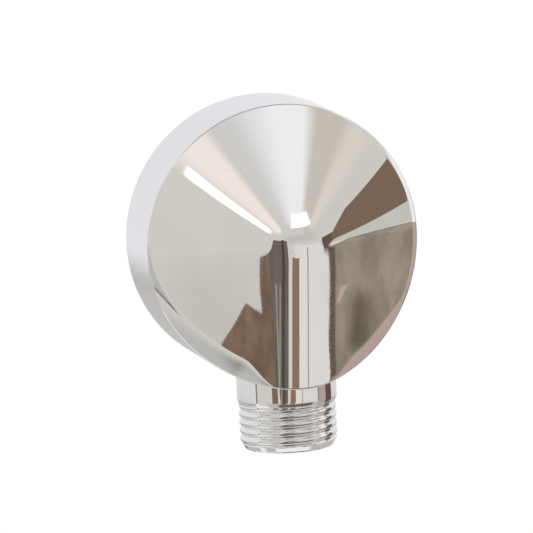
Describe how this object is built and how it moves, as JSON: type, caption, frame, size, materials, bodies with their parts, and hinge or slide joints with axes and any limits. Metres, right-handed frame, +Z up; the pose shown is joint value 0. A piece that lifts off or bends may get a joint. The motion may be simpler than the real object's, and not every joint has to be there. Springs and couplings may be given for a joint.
{
  "type": "wall outlet elbow",
  "caption": "Round chromed shower elbow: half-cone front running into a rounded vertical ridge, threaded inlet in its hollow back and a hose thread pointing down.",
  "frame": {"origin": "on the inlet's axis, in the plane of the finished wall that the rim's back face rests on", "axes": "+Z up, +Y into the wall along the inlet, the front faces -Y and the outlet points to -Z"},
  "size_m": [0.06, 0.0295, 0.0745],
  "materials": {
    "chrome_plate": "polished chrome plate on cast brass"
  },
  "bodies": {
    "root": {"elbow_body": "chrome_plate"}
  },
  "joints": []
}
